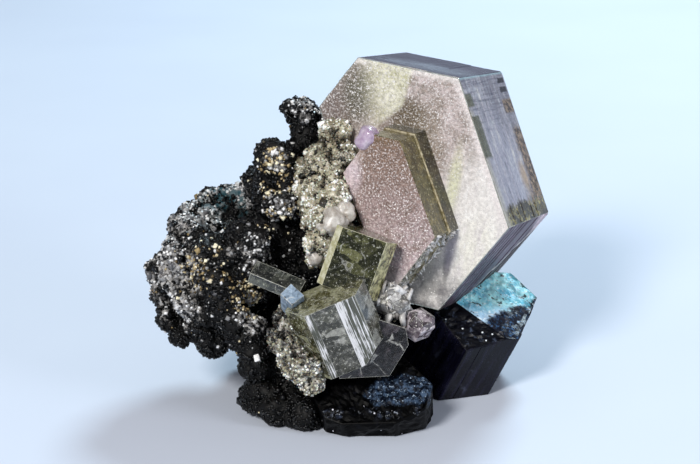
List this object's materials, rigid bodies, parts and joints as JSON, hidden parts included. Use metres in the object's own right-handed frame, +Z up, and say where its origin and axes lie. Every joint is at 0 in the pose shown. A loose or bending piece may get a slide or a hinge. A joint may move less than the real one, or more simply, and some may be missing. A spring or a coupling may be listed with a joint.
{
  "type": "apatite specimen",
  "caption": "Mineral specimen: glassy and frosted hexagonal apatite crystals grown together on a black drusy matrix.",
  "frame": {"origin": "point on the flat underside that the specimen rests on, below the middle of the matrix", "axes": "+Z up from the resting face, +Y towards the back, so that the large crystal's hexagonal face looks towards -Y; +X to the right as seen from the front"},
  "size_m": [0.0614, 0.0456, 0.0508],
  "materials": {
    "pale_crystal": "frosted to glassy",
    "frosted_crystal": "frosted",
    "olive_crystal": "glassy",
    "smoky_crystal": "glassy",
    "black_crystal": "glassy black",
    "black_druse": "sparkling",
    "cream_crust": "granular"
  },
  "bodies": {
    "root": {"black_druse": "black_druse", "black_prism": "black_crystal", "cream_crust": "cream_crust", "diamond_apatite": "olive_crystal", "front_black_crystal": "black_crystal", "front_crust": "cream_crust", "frosted_apatite": "frosted_crystal", "green_apatite": "olive_crystal", "large_apatite": "pale_crystal", "slab_apatite": "olive_crystal", "small_apatite": "pale_crystal", "smoky_apatite": "smoky_crystal", "striated_apatite": "olive_crystal", "white_apatite": "pale_crystal"}
  },
  "joints": []
}
